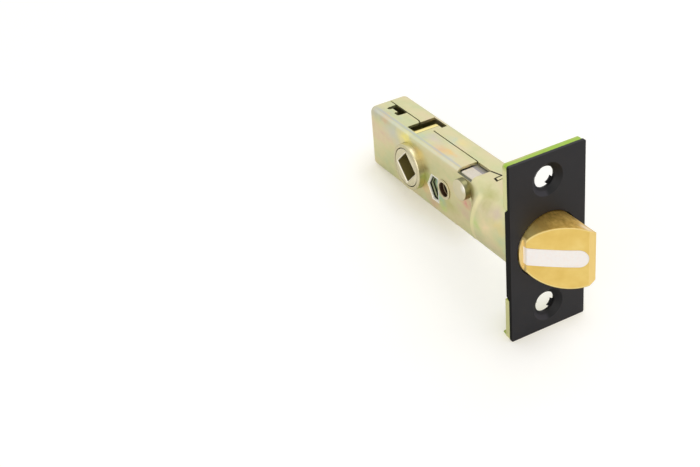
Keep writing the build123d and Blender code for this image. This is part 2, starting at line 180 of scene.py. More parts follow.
def fold(tree, operation, values):
    """Take a maths operation through a list: each time with the result so far and the next value."""
    result = values[0]
    for value in values[1:]:
        result = add(tree, "Math", [result, value], operation=operation)
    return result


def between(tree, value, low, high, blur=0.15):
    """Give 1 from low to high and 0 outside, with a slope blur wide at each end, in millimetres."""
    rise = {"Value": value, "From Min": mm(low - blur), "From Max": mm(low)}
    fall = {"Value": value, "From Min": mm(high), "From Max": mm(high + blur)}
    fall.update({"To Min": 1.0, "To Max": 0.0})
    return fold(tree, "MULTIPLY", [add(tree, "MapRange", ends) for ends in (rise, fall)])


def measure(tree, coords):
    """Give X, Y and Z of the coordinates, and off, the distance from the middle plane, by name."""
    x, y, z = add(tree, "SeparateXYZ", [coords]).outputs
    return {"x": x, "y": y, "z": z, "off": add(tree, "Math", [y], operation="ABSOLUTE")}


def inside(tree, at, **limits):
    """Give 1 inside a soft box. Each limit along x, y, z or off is (low, high) or (low, high, blur)."""
    return fold(tree, "MULTIPLY", [between(tree, at[side], *ends) for side, ends in limits.items()])


def lay_bands(tree, at, colour, bands):
    """Lay the colours of soft boxes over a colour. A band is (hex colour, share, limits)."""
    for tone, share, limits in bands:
        cover = fold(tree, "MULTIPLY", [inside(tree, at, **limits), share])
        colour = add(tree, "MixRGB", [cover, colour, linear(tone)])
    return colour


print("no limit, in mm:", far)

# %% [markdown]
# ## Yellow passivated zinc
#
# The case, the back plate and the turned parts are steel with a coat of zinc, dipped in a chromate
# bath. The film that the bath leaves is as thin as the waves of light, so its colour wanders from straw
# to green, pink and a trace of blue where its thickness changes. The shader could trace a real thin
# film, but the film's slow changes in thickness are what the eye sees, so here a broad noise runs
# through a ramp of the film's own colours. Rolled sheet also has a fine grain along its length, a long
# narrow noise in the bump and in the roughness. Real grain is under 0.1 mm wide, too fine to show, so
# it is drawn 0.5 mm wide.

# %% Yellow passivated zinc, electroplated and dipped
def passivated_zinc(name, stops, patch, grain_stretch, accents):
    """Zinc whose film colours come from a ramp over patches that are patch millimetres wide, with
    paler flecks. The function accents then gives the colour and the metallic share of each place."""
    made, tree, coords = new_material(name)
    film = lumps(tree, coords, patch, detail=3.5, stretch=(1.9, 1, 1), roughness=0.55)
    grain = lumps(tree, coords, 0.5, detail=2.0, stretch=grain_stretch)
    fleck = lumps(tree, coords, 2.4, detail=5.0)
    fleck_share = add(tree, "MapRange", {"Value": fleck, "To Min": -0.25, "To Max": 0.3})
    film_colour = add(tree, "ValToRGB", [film], stops)
    colour = add(tree, "MixRGB", [fleck_share, film_colour, linear("#e9e3c6")])
    colour, metallic = accents(tree, coords, colour)
    shader = add(tree, "BsdfPrincipled", {
        "Base Color": colour,
        "Metallic": metallic,
        "Roughness": add(tree, "MapRange", {"Value": grain, "To Min": 0.26, "To Max": 0.42}),
        "Normal": rounded_bump(tree, grain, 0.006, 0.16),
    })
    add(tree, "OutputMaterial", {"Surface": shader})
    return made


zinc_metallic = 0.9
along_grain, across_grain, upright_grain = (14, 1, 1), (1, 14, 1), (1, 1, 14)
print("grain is drawn out times", max(along_grain))

# %% [markdown]
# ## Stains of the film
#
# Where the bath ran off or dried last, the film is thicker and shows another colour: on this case pink
# and cyan low on the near side, orange and yellow round the collar. Random noise alone would put them
# anywhere, so the larger stains are placed one by one, as soft spots with a ragged rim.
# Two spots are painted light instead of film: the pink one under the stud is a painted reflection of
# the stud, and the olive one beside the collar is painted shade and reflection of the collar.

# %% Spots of other film colours
def film_spots(tree, coords, colour, spots, ragged=2.2, length=1.8):
    """Lay soft spots over a colour. A spot is (X, Y, Z, radius, hex colour), in millimetres. Spots are
    drawn out along X by length, and a noise moves their rims by up to ragged millimetres."""
    cloud_size, strongest, core, rim = 3.0, 0.7, 0.1, 1.25
    cloudy = {"Vector": coords, "Scale": 1 / mm(cloud_size), "Detail": 2.0}
    clouds = add(tree, "TexNoise", cloudy).outputs["Color"]
    centred = add(tree, "VectorMath", [clouds, (0.5, 0.5, 0.5)], operation="SUBTRACT")
    wander = add(tree, "VectorMath", {0: centred, "Scale": mm(2 * ragged)}, operation="SCALE")
    moved = add(tree, "VectorMath", [coords, wander], operation="ADD")
    narrow = add(tree, "Mapping", {"Vector": moved, "Scale": (1 / length, 1, 1)})
    for x, y, z, radius, tone in spots:
        centre = (mm(x / length), mm(y), mm(z))
        away = add(tree, "VectorMath", [narrow, centre], operation="DISTANCE").outputs["Value"]
        fade = {"Value": away, "From Min": mm(core * radius), "From Max": mm(rim * radius)}
        fade.update({"To Min": strongest, "To Max": 0.0})
        colour = add(tree, "MixRGB", [add(tree, "MapRange", fade), colour, linear(tone)])
    return colour


sheet_spots = [
    # the near side of the box, from its rear end to the neck
    (-69.6, -7, 7.2, 3.6, "#cfd0c9"), (-63.6, -7, 7.6, 2.5, "#fdee8e"),
    (-55.1, -7, 6.6, 1.8, "#f2d894"), (-53.6, -7, -0.8, 2.0, "#b2bd62"),
    (-52.2, -7, -4.0, 2.0, "#efc182"), (-43.8, -7, -4.4, 1.7, "#7fd0c4"),
    (-43.2, -7, -6.6, 1.7, "#c6dd7c"), (-47.9, -7, -7.4, 2.2, "#e0b49a"),
    # the pink spot at X -29.6, under the stud, is a painted reflection of the stud
    (-38.9, -7, -4.3, 2.8, "#c3c07a"), (-29.6, -7, 1.0, 1.9, "#e27f8c"),
    (-31.0, -7, -2.6, 2.2, "#dcc0ab"),
    # the top of the box
    (-47.1, -4.4, 10.5, 2.0, "#e9b78e"), (-43.0, -3.6, 10.5, 1.7, "#f0c77a"),
    (-53.5, -2.0, 10.5, 2.4, "#d6c6c0"), (-41.8, -5.2, 10.5, 1.6, "#d3d3bd"),
    (-48.8, 1.8, 10.5, 1.8, "#bcd3be"), (-46.0, 3.0, 10.5, 2.0, "#ecdc96"),
    (-75.6, -6.6, 10.2, 2.0, "#dcb795"), (-81.4, -6.8, 10.2, 2.6, "#bdbdb9"),
    # the barrel, and two more beside the collar: the olive one is painted shade and reflection of the
    # collar
    (-19.8, -11, 0.8, 2.2, "#c6d98c"), (-14.7, -11, 2.6, 2.4, "#f8e0b8"),
    (-51.6, -7, 3.0, 1.5, "#b2a670"), (-62.0, -7, 8.4, 1.5, "#fff386"),
    (-12.3, -8.7, 7.1, 2.0, "#d2bfae"), (-17.6, -8.7, 7.1, 1.8, "#bfb982"),
    (-18.4, -6.4, 9.2, 2.2, "#bcb876"), (-9.1, -10.3, 4.4, 2.2, "#ecd99a"),
]
print("stains on the case:", len(sheet_spots))

# %% [markdown]
# ## Lines on the case
#
# A painted sheen makes the outside of a bend pale, painted shade darkens the edges of the butt seam,
# and a painted highlight makes a bright rim round the six-sided head of the bush. These are lines a few
# tenths of a millimetre wide. They could be cut into the solid, but they have no depth, so they are
# drawn as soft boxes and as distances from a line.

# %% Painted sheen on bends, painted highlight round the bush and painted shade in the seam
bush_x, bush_z = -47.6, -2.1
head_point_x, head_cut_x, head_half_height = -50.9, -45.1, 4.15
near_skin = (-8.0, -7.0, 0.05)  # the outside of the box's near wall, along Y
upper_bend = dict(x=(-80.0, -35.5, 3.0), z=(8.6, 12.0, 0.3))
tongue = dict(y=(-4.75, 3.3), z=(9.5, 12.0))
sheet_bands = [
    ("#b9bfc4", 0.6, dict(upper_bend, y=(-5.6, -5.25, 0.3))),  # a painted bluish sheen on the bend
    ("#e6ebe2", 0.3, dict(upper_bend, y=(-6.5, -6.1, 0.25))),  # a painted pale sheen beside it
    ("#ffee9a", 1.0, dict(tongue, x=(-62.4, -59.75))),  # a painted yellow highlight on the tongue's bent edge
    ("#857646", 0.7, dict(tongue, x=(-59.6, -59.45, 0.1))),  # painted shade at the end of that bend
    ("#f2e8b4", 0.6, dict(x=(-21.9, -20.6, 1.0), y=(-12.0, -8.0, 1.0))),  # a painted pale highlight on the neck's bend
]
seam_lines = [  # measured along, measured across, from and to along, from and to across, half width
    ("x", "y", (-27.3, -22.5), (0.05, 0.65), 0.3),
    ("y", "x", (-2.0, 0.6), (-22.5, -22.5), 0.25),
    ("x", "y", (-22.5, -20.9), (-1.8, -2.1), 0.3),
]


def painted_bush_highlight(tree, at):
    """Give 1 in a narrow rim round the bush's head, where a highlight is painted. The distance outside
    the head is the largest of the distances outside its slanted sides, which rise at 60 degrees, its top
    and its cut side."""
    lean, rise = math.sin(math.radians(60)), math.cos(math.radians(60))
    centred = add(tree, "Math", [at["z"], mm(-bush_z)], operation="ADD")
    height = add(tree, "Math", [centred], operation="ABSOLUTE")
    slanted = add(tree, "Math", [at["x"], -lean, mm(lean * head_point_x)], operation="MULTIPLY_ADD")
    slanted = add(tree, "Math", [height, rise, slanted], operation="MULTIPLY_ADD")
    above = add(tree, "Math", [height, mm(head_half_height)], operation="SUBTRACT")
    beside = add(tree, "Math", [at["x"], mm(head_cut_x)], operation="SUBTRACT")
    away = fold(tree, "MAXIMUM", [slanted, above, beside])
    rim = between(tree, away, -0.05, 0.2, 0.06)
    return fold(tree, "MULTIPLY", [rim, inside(tree, at, y=near_skin)])


def beside_line(tree, along, across, ends, levels, half):
    """Give 1 within half millimetres of the straight line that goes from the first to the second of
    levels across, while it goes from the first to the second of ends along."""
    rise = (levels[1] - levels[0]) / (ends[1] - ends[0])
    level = levels[0] - rise * ends[0]
    off_line = add(tree, "Math", [along, -rise, across], operation="MULTIPLY_ADD")
    strip = between(tree, off_line, level - half, level + half, 0.1)
    return fold(tree, "MULTIPLY", [strip, between(tree, along, *ends, 0.1)])


def painted_seam_shade(tree, at):
    """Give 0.85 along the edges of the seam and of its interlock, in the top of the barrel, where shade
    is painted.
    """
    lines = [beside_line(tree, at[a], at[b], *rest) for a, b, *rest in seam_lines]
    seam_shaded = fold(tree, "MAXIMUM", lines)
    return fold(tree, "MULTIPLY", [seam_shaded, inside(tree, at, z=(9.0, 12.0)), 0.85])


print("bands and seam lines:", len(sheet_bands), len(seam_lines))

# %% [markdown]
# The case's finish puts these together: the broad film first, then its stains, the lines on top of
# them, and last the cut edge of the front window, which takes painted shade and is less shiny.

# %% The case's finish
def sheet_accents(tree, coords, colour):
    """Stains with a painted reflection and a painted shade among them, painted sheen on the bends, a
    painted highlight round the bush, and painted shade along the seam and on the window's cut edge.
    """
    at = measure(tree, coords)
    colour = film_spots(tree, coords, colour, sheet_spots)
    colour = lay_bands(tree, at, colour, sheet_bands)
    # a painted highlight round the bush's head
    colour = add(tree, "MixRGB", [painted_bush_highlight(tree, at), colour, linear("#ffffff")])
    # painted shade along the seam and its interlock
    colour = add(tree, "MixRGB", [painted_seam_shade(tree, at), colour, linear("#4c4733")])
    # painted shade on the cut edge of the front window, which is also less metallic
    cut = inside(tree, at, x=(-34.2, -27.0), z=(9.0, 9.34, 0.05), y=(-6.8, -5.9, 0.05))
    metallic = add(tree, "MapRange", {"Value": cut, "To Min": zinc_metallic, "To Max": 0.3})
    return add(tree, "MixRGB", [cut, colour, linear("#5f604c")]), metallic


film_stops = [
    (0.26, "#bccbb2"), (0.37, "#ced2a2"), (0.47, "#d7d3a2"),
    (0.56, "#ddd4a7"), (0.66, "#e0d0aa"), (0.78, "#dcc0aa"),
]
sheet_zinc = passivated_zinc("yellow_zinc_sheet", film_stops, 9.0, along_grain, sheet_accents)
print("nodes in the case's finish:", len(sheet_zinc.node_tree.nodes))

# %% [markdown]
# ## The green back plate
#
# The film on the back plate is greener than on the case, most of all along its top edge, and its sides
# are the colour of straw. The same zinc serves, with a ramp of greens, an upright grain, and bands for
# the sides and the top.

# %% Green film on the back plate
plate_sides = [("#e6e2ae", 0.8, dict(off=(12.5, far, 0.1), z=(-29.0, 26.5, 1.5)))]
plate_top = [("#9cc23f", 0.75, dict(x=(-2.1, 0.0, 0.3), z=(28.0, 30.0)))]
green_stops = [(0.3, "#9dbd52"), (0.48, "#adc35f"), (0.62, "#bcc272"), (0.75, "#c8bd84")]


def plate_accents(tree, coords, colour):
    """Pale straw sides, a straw spot on the top edge, and deeper green beside the black plate."""
    at = measure(tree, coords)
    colour = lay_bands(tree, at, colour, plate_sides)
    colour = film_spots(tree, coords, colour, [(-1.9, -8, 28.6, 3.5, "#dccba2")])
    return lay_bands(tree, at, colour, plate_top), zinc_metallic


plate_zinc = passivated_zinc("green_zinc_plate", green_stops, 12.0, upright_grain, plate_accents)
print("nodes in the plate's finish:", len(plate_zinc.node_tree.nodes))

# %% [markdown]
# ## Turned parts and their holes
#
# Collars, hub, sleeve, bush and stud are turned, and their film is more even than the sheet's.
# The collar and the stud stand proud of the case, and their sides take painted shade and reflections,
# in darker browns and greens than their faces, with painted highlights on the collar's top and the
# stud's face, so each has bands or a second colour on its side.

# %% Painted highlights, shade and reflections on the collar and the stud
turned_stops = [(0.3, "#c4c199"), (0.5, "#d5cca6"), (0.66, "#e0d7b8")]
collar_side = dict(off=(6.0, 8.65), x=(-56.5, -50.0, 2.0))
# a painted highlight at the top of the collar's side, painted shade and reflections lower down
collar_painted_light = [
    ("#f6ddd2", 0.35, dict(collar_side, z=(7.0, 9.0, 0.8))),
    ("#989076", 0.9, dict(collar_side, z=(1.5, 4.6, 1.2))),
    ("#b9c678", 0.8, dict(collar_side, z=(-5.0, 0.0, 1.2))),
]


def collar_accents(tree, coords, colour):
    """The collar's outer side has a pale pink painted highlight at the top, and painted shade and
    reflections, brown towards the front and green below.
    """
    return lay_bands(tree, measure(tree, coords), colour, collar_painted_light), zinc_metallic


def stud_accents(tree, coords, colour):
    """The stud's face is pale with a painted highlight near its rim, and its side has painted shade and
    reflections in olive and brown.
    """
    at = measure(tree, coords)
    upper = inside(tree, at, z=(0.0, 5.0, 1.2))
    # painted shade and reflections on the stud's side: olive on its upper part, brown on its lower part
    side = add(tree, "MixRGB", [upper, linear("#55562a"), linear("#7d5f2c")])
    side_share = fold(tree, "MULTIPLY", [inside(tree, at, y=(-8.75, 0.0, 0.2)), 0.85])
    face = add(tree, "MixRGB", [0.45, colour, linear("#ece2c6")])
    # a painted highlight near the rim of the stud's face
    face = film_spots(tree, coords, face, [(-28.2, -9, 7.4, 1.3, "#ffffff")], 0.3, 1.0)
    return add(tree, "MixRGB", [side_share, face, side]), zinc_metallic


print("bands on the collar's side:", len(collar_painted_light))

# %% [markdown]
# ## Holes
#
# Light hardly reaches into the square hole, the sleeve and the threaded socket: behind a bright rim,
# a painted highlight, they are brown and olive, with pale rings where the light is thrown back once
# more.
# The shader would need many bounces for that and would still lack the dirt, so here painted shade, the
# painted rim and painted pale rings follow the depth below the hole's mouth through a ramp, and deep
# metal is dull.

# %% Painted shade and highlights down a hole
square_bands = [(0.0, "#fff8e4"), (0.055, "#fff8e4"), (0.065, "#776c3b")]
sleeve_bands = [
    (0.05, "#7d7058"), (0.2, "#4a3322"), (0.46, "#3d2a1c"),
    (0.5, "#c9b890"), (0.56, "#c9b890"), (0.6, "#34241a"),
]
socket_bands = [
    (0.12, "#fffdf2"), (0.15, "#2d2a14"), (0.3, "#2d2a14"),
    (0.36, "#d3d6ac"), (0.44, "#d3d6ac"), (0.49, "#211f10"),
    (0.62, "#211f10"), (0.68, "#b4cc9a"), (0.76, "#a9c8c4"),
]


def depth_bands(mouth, rim, reach, stops):
    """Make the accents of a hole along Y whose mouth is mouth millimetres off the middle plane. Metal
    deeper than rim is dull and takes the painted highlight, shade and pale reflections of a ramp that
    runs reach millimetres deep."""
    def accents(tree, coords, colour):
        off = measure(tree, coords)["off"]
        depth = add(tree, "Math", [mm(mouth), off], operation="SUBTRACT")
        share = add(tree, "MapRange", {"Value": depth, "From Max": mm(reach)})
        deep = between(tree, depth, rim, far, 0.05)
        metallic = add(tree, "MapRange", {"Value": deep, "To Min": 0.95, "To Max": 0.2})
        return add(tree, "MixRGB", [deep, colour, add(tree, "ValToRGB", [share], stops)]), metallic
    return accents


turned_accents = {
    "collar": collar_accents,
    "hub": depth_bands(9.04, 0.04, 5.0, square_bands),
    "sleeve": depth_bands(7.3, 0.2, 3.0, sleeve_bands),
    "bush": depth_bands(6.9, -0.05, 3.2, socket_bands),
    "stud": stud_accents,
}
turned_zinc = {
    part: passivated_zinc("yellow_zinc_" + part, turned_stops, 6.0, across_grain, accents)
    for part, accents in turned_accents.items()
}
print("turned finishes:", ", ".join(turned_zinc))

# %% [markdown]
# ## Matt black coat
#
# The face plate is steel with a baked black coat. Such a coat is a plastic film: it isn't metallic, it
# reflects a few percent of the light, and its fine orange-peel surface spreads that into a soft grey.
# The pebbles are 0.35 mm wide, as on real paint, and far lower than they are wide. Painted shade makes
# the coat deeper black on the folded side tabs and on one side of the dishes, and a painted highlight
# makes it grey at the dishes' lower rims. A dish is found by the distance from its hole, and both dishes
# are found at once by measuring the height without its sign.

# %% Matt black baked coat
def distance(tree, across, up):
    """The distance from an axis: the root of the sum of both squares."""
    squared = add(tree, "Math", [up, up], operation="MULTIPLY")
    total = add(tree, "Math", [across, across, squared], operation="MULTIPLY_ADD")
    return add(tree, "Math", [total], operation="SQRT")


def baked_black(name, hole_z=20.64, side=12.62):
    """Black coat with a finely pebbled surface. The screw holes lie hole_z above and below the middle,
    and the tabs begin side off the middle plane."""
    made, tree, coords = new_material(name)
    pebble = lumps(tree, coords, 0.35, detail=2.0)
    cloud = lumps(tree, coords, 7.0, detail=2.0)
    at = measure(tree, coords)
    unsigned = add(tree, "Math", [at["z"]], operation="ABSOLUTE")
    height = add(tree, "Math", [unsigned, mm(hole_z)], operation="SUBTRACT")
    out = distance(tree, at["y"], height)
    # painted shade on one side of each dish
    painted_dish_shade = [between(tree, out, 2.0, 5.0, 0.1), inside(tree, at, y=(1.0, 8.0, 1.6)), 0.85]
    below = [inside(tree, at, z=(hole - 8, hole - 1.5, 1.0)) for hole in (hole_z, -hole_z)]
    # a painted highlight in grey at each dish's lower rim
    grey_band = [
        between(tree, out, 4.1, 5.0, 0.3), inside(tree, at, y=(-8.0, -0.5, 1.0)),
        fold(tree, "ADD", below),
    ]
    # painted shade, deeper black, on the folded side tabs
    tab = inside(tree, at, off=(side, far, 0.03))
    colour = add(tree, "ValToRGB", [cloud], [(0.3, "#202023"), (0.7, "#272527")])
    colour = add(tree, "MixRGB", [fold(tree, "MULTIPLY", painted_dish_shade), colour, linear("#050506")])
    colour = add(tree, "MixRGB", [fold(tree, "MULTIPLY", grey_band), colour, linear("#353338")])
    colour = add(tree, "MixRGB", [tab, colour, linear("#020101")])
    coat_rough = add(tree, "MapRange", {"Value": cloud, "To Min": 0.5, "To Max": 0.6})
    tab_rough = add(tree, "MapRange", {"Value": tab, "To Max": 0.4})
    shader = add(tree, "BsdfPrincipled", {
        "Base Color": colour,
        "Metallic": 0.0,
        "Roughness": fold(tree, "ADD", [coat_rough, tab_rough]),
        "Specular IOR Level": 0.3,
        "Normal": rounded_bump(tree, pebble, 0.012, 0.22),
    })
    add(tree, "OutputMaterial", {"Surface": shader})
    return made


black_coat = baked_black("matt_black_baked_coat")
print("nodes in the black coat:", len(black_coat.node_tree.nodes))

# %% [markdown]
# ## Brass
#
# The bolt is turned from brass and its slope is milled. The cutter leaves fine parallel lines on the
# slope and a burr along its rim, where a highlight is painted, and the turned side is rougher, mottled,
# has fine rings and painted highlights; the narrow land beside the slope is painted pale as if lit.
# Lines and rings are drawn about 0.4 mm wide, coarser than real, to show. Both are one solid, so the
# distance from the bolt's axis tells them apart. Brass keeps its colour in its highlights, because a
# metal tints what it reflects.

# %% Milled and turned brass
def milled_brass(name, radius=9.95, tip=12.7):
    """Brass with cutter lines. Beyond radius from the bolt's axis it is the mottled turned side, beyond
    the X of tip the paler flat end, and the narrow land beside the slope is painted pale as if lit, and
    dull."""
    made, tree, coords = new_material(name)
    lines = lumps(tree, coords, 0.4, detail=2.0, stretch=(16, 16, 1))
    rings = lumps(tree, coords, 0.3, detail=2.0, stretch=(1, 12, 12))
    cloud = lumps(tree, coords, 5.0)
    mottle = lumps(tree, coords, 1.5, detail=4.0, stretch=(1.8, 1, 1), roughness=0.65)
    at = measure(tree, coords)
    out = distance(tree, at["y"], at["z"])
    turned = between(tree, out, radius, far, 0.04)
    # a painted highlight along the rim of the slope, where the burr is
    burr_highlight = [between(tree, out, radius - 0.3, radius, 0.08), inside(tree, at, x=(0.0, tip)), 0.4]
    # the narrow land, painted pale as if lit
    land = inside(tree, at, x=(-1.0, 1.66, 0.05), y=(-9.7, -8.45, 0.2))

    colour = add(tree, "ValToRGB", [cloud], [(0.3, "#ecc86d"), (0.55, "#f3d27a"), (0.75, "#f8db88")])
    colour = add(tree, "MixRGB", [fold(tree, "MULTIPLY", burr_highlight), colour, linear("#fff2bc")])
    colour = lay_bands(tree, at, colour, [("#ffe095", 0.7, dict(x=(tip, far, 0.05)))])
    side = add(tree, "ValToRGB", [mottle], [(0.36, "#a38430"), (0.5, "#cda44f"), (0.64, "#e0bd66")])
    # painted highlights on the turned side
    side_highlights = [
        (11.0, 4.7, 8.9, 1.5, "#fff6ee"), (3.3, -5.6, 8.3, 3.0, "#ffd676"),
        (1.6, -7.4, 6.8, 3.2, "#fff0a0"),
    ]
    side = film_spots(tree, coords, side, side_highlights, 0.4)
    colour = add(tree, "MixRGB", [fold(tree, "MULTIPLY", [turned, 0.8]), colour, side])
    colour = add(tree, "MixRGB", [land, colour, linear("#f6dc96")])

    line_rough = add(tree, "MapRange", {"Value": lines, "To Min": 0.28, "To Max": 0.36})
    ring_rough = add(tree, "MapRange", {"Value": rings, "To Min": 0.42, "To Max": 0.6})
    rough = add(tree, "MixRGB", [turned, line_rough, ring_rough])
    rough = add(tree, "MixRGB", [land, rough, (0.55, 0.55, 0.55, 1.0)])
    shader = add(tree, "BsdfPrincipled", {
        "Base Color": colour,
        "Metallic": add(tree, "MapRange", {"Value": land, "To Min": 1.0, "To Max": 0.5}),
        "Roughness": rough,
        "Normal": rounded_bump(tree, add(tree, "MixRGB", [turned, lines, rings]), 0.0015, 0.2),
    })
    add(tree, "OutputMaterial", {"Surface": shader})
    return made


brass = milled_brass("milled_brass")
print("nodes in the brass:", len(brass.node_tree.nodes))

# %% [markdown]
# ## Nylon
#
# The strip in the bolt and the guide block are moulded nylon: light enters a little way and comes out
# again, which takes the hardness off its shadows, so the shader scatters it under the surface. The
# guide sits in the case's window; its nylon is yellower than the strip's and also painted darker as
# shade, and it is grey in a band along its middle.

# %% Moulded nylon
def moulded_nylon(name, stops, grey_band=None):
    """Nylon with a faint mould texture and some light scattered under the surface. Between the two
    values of the last argument, in millimetres along Y, it is grey."""
    made, tree, coords = new_material(name)
    skin = lumps(tree, coords, 0.8)
    colour = add(tree, "ValToRGB", [skin], stops)
    if grey_band:
        grey = inside(tree, measure(tree, coords), y=(*grey_band, 0.08))
        colour = add(tree, "MixRGB", [grey, colour, linear("#a7a0a3")])
    shader = add(tree, "BsdfPrincipled", {
        "Base Color": colour,
        "Roughness": add(tree, "MapRange", {"Value": skin, "To Min": 0.36, "To Max": 0.5}),
        "Subsurface Weight": 0.25,
        "Subsurface Radius": (0.8, 0.7, 0.6),
        "Subsurface Scale": mm(0.8),
        "Normal": rounded_bump(tree, skin, 0.002, 0.25),
    })
    add(tree, "OutputMaterial", {"Surface": shader})
    return made


fork_half_width = 1.85
nylon = moulded_nylon("moulded_white_nylon", [(0.3, "#fff6f0"), (0.7, "#fffaf6")])
# the guide's nylon: yellower, and darker as painted shade of the case's window
yellowed_shaded_nylon = moulded_nylon(
    "yellowed_shaded_nylon", [(0.3, "#e3dac9"), (0.7, "#ebe2d4")], (-fork_half_width, fork_half_width)
)
print("nylons:", nylon.name, yellowed_shaded_nylon.name)

# %% [markdown]
# ## Bare steel
#
# The fork, the pins, the rod and the spring inside the case are plain steel, grey and dull from
# rolling or drawing. Little of it shows through the windows, so slight grey clouds and a grain along
# the parts, drawn 0.4 mm wide to show, are enough.

# %% Bare rolled steel
def bare_steel(name):
    """Plain steel with a rolling grain along X and slight grey clouds."""
    made, tree, coords = new_material(name)
    grain = lumps(tree, coords, 0.4, detail=2.0, stretch=(12, 1, 1))
    cloud = lumps(tree, coords, 3.0)
    shader = add(tree, "BsdfPrincipled", {
        "Base Color": add(tree, "ValToRGB", [cloud], [(0.3, "#928f8e"), (0.7, "#aaa7a6")]),
        "Metallic": 0.6,
        "Roughness": add(tree, "MapRange", {"Value": grain, "To Min": 0.3, "To Max": 0.46}),
        "Normal": rounded_bump(tree, grain, 0.005, 0.12),
    })
    add(tree, "OutputMaterial", {"Surface": shader})
    return made


steel = bare_steel("bare_rolled_steel")
print("steel:", steel.name)

# %% [markdown]
# ## Dressing the solids
#
# Each solid keeps its shape and takes one finish. The table names the finish of every piece. The
# spring's solid isn't in it, because a piece that is made below stands for it.

# %% Finishes of the solids
finishes = {
    black_coat: ["face_plate"],
    plate_zinc: ["back_plate"],
    sheet_zinc: ["case_shell"],
    turned_zinc["collar"]: ["near_collar", "far_collar"],
    turned_zinc["hub"]: ["hub"],
    turned_zinc["sleeve"]: ["screw_sleeve"],
    turned_zinc["bush"]: ["threaded_bush"],
    turned_zinc["stud"]: ["side_stud"],
    brass: ["latch_bolt"],
    nylon: ["bolt_insert"],
    yellowed_shaded_nylon: ["bolt_guide"],
    steel: [
        "bolt_fork", "bolt_pins", "upper_drive_pin", "lower_drive_pin", "spring_rod", "spring_seat",
    ],
}
for finish, names in finishes.items():
    for name in names:
        piece = nodes[name]
        piece.data.materials.clear()
        piece.data.materials.append(finish)
print("dressed:", sum(len(names) for names in finishes.values()))

# %% [markdown]
# ## Surfaces from numbers
#
# New pieces are grids of points. A function of two parameters gives the place of every point at once,
# as whole numpy arrays, and the faces join each point to its neighbours. Where the grid runs round and
# meets itself, its last row of faces joins back to the first, so that the surface has no open seam.

# %% Grid to mesh
def grid_piece(name, points, wrap_rows=False, wrap_columns=False):
    """Make a smooth piece from an array of points, rows by columns by XYZ, in millimetres."""
    rows, columns = points.shape[:2]
    index = np.arange(rows * columns).reshape(rows, columns)
    here = index if wrap_rows else index[:-1]
    below = np.roll(index, -1, axis=0) if wrap_rows else index[1:]
    if wrap_columns:
        quads = np.stack([here, np.roll(here, -1, 1), np.roll(below, -1, 1), below], axis=-1)
    else:
        quads = np.stack([here[:, :-1], here[:, 1:], below[:, 1:], below[:, :-1]], axis=-1)
    mesh = bpy.data.meshes.new(name)
    mesh.from_pydata(mm(points.reshape(-1, 3)), [], quads.reshape(-1, 4).tolist())
    mesh.polygons.foreach_set("use_smooth", np.full(len(mesh.polygons), True))
    mesh.update()
    made = bpy.data.objects.new(name, mesh)
    bpy.context.scene.collection.objects.link(made)
    return made


print("a grid piece is given in mm and made in m: 1000 mm is", mm(1000), "m")

# %% [markdown]
# ## The thread in the bush
#
# A machine screw of the door trim goes into the six-sided bush, so its bore has a thread. A thread is a
# profile carried round an axis that also climbs by one pitch in each turn. Here the distance from the
# axis is a zigzag of the height minus the part of a turn already made. The grid closes on itself round
# the axis, and its other direction runs up the inside with the thread and back down behind it.

# %% Thread of the bush
def thread_points(centre, crest, root, back, ends, pitch, around=72, steps=8):
    """Points of a threaded liner: its radius is crest plus the depth times a zigzag of height over
    pitch minus turns, and behind the thread the grid comes back at the radius back."""
    heights = np.linspace(*ends, int((ends[1] - ends[0]) / pitch * steps))
    turns = np.linspace(0, 1, around, endpoint=False)
    height, turned = np.meshgrid(heights, turns, indexing="ij")
    zigzag = np.abs(((height / pitch - turned) % 1.0) * 2 - 1)
    radius = crest + (root - crest) * zigzag
    height = np.vstack([height, height[::-1]])
    radius = np.vstack([radius, np.full_like(radius, back)])
    angle = 2 * np.pi * np.vstack([turned, turned])
    across, up = radius * np.cos(angle), radius * np.sin(angle)
    return np.stack([centre[0] + across, height, centre[1] + up], axis=-1)


crest_r, root_r, liner_r, thread_ends, thread_pitch = 2.0, 2.33, 2.38, (-4.7, 6.9), 1.06
liner = thread_points((bush_x, bush_z), crest_r, root_r, liner_r, thread_ends, thread_pitch)
bush_thread = grid_piece("bush_thread", liner, wrap_rows=True, wrap_columns=True)
bush_thread.data.materials.append(turned_zinc["bush"])
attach(bush_thread, "case")
print("thread faces:", len(bush_thread.data.polygons))

# %% [markdown]
# ## The spring
#
# The coil spring behind the bolt gets shorter when the bolt is drawn in. The solid of the spring is
# rigid, so a coil of the same size stands for it here. A coil is a ring carried along a helix. Its ends
# are closed by rings of no width, whose points are then merged.

# %% Points of a coil
def coil_points(ends, radius, wire, turns, around=12, per_turn=40):
    """Points of a coil along X. Its middle line is (x, radius sin t, -radius cos t), where x grows
    evenly with the angle t, and each ring of the wire lies across that line."""
    angle = np.linspace(0, 2 * np.pi * turns, int(turns * per_turn))
    flat = np.zeros_like(angle)
    outward = np.stack([flat, np.sin(angle), -np.cos(angle)], axis=-1)
    line = outward * radius + np.stack([np.linspace(*ends, len(angle)), flat, flat], axis=-1)
    climb = (ends[1] - ends[0]) / (2 * np.pi * turns)
    along = np.stack([flat + climb, radius * np.cos(angle), radius * np.sin(angle)], axis=-1)
    side = np.cross(along / np.linalg.norm(along, axis=1, keepdims=True), outward)
    ring = np.linspace(0, 2 * np.pi, around, endpoint=False)[None, :, None]
    tube = line[:, None] + wire * (np.cos(ring) * outward[:, None] + np.sin(ring) * side[:, None])
    start, end = (np.repeat(line[i][None, None], around, axis=1) for i in (0, -1))
    return np.concatenate([start, tube, end])


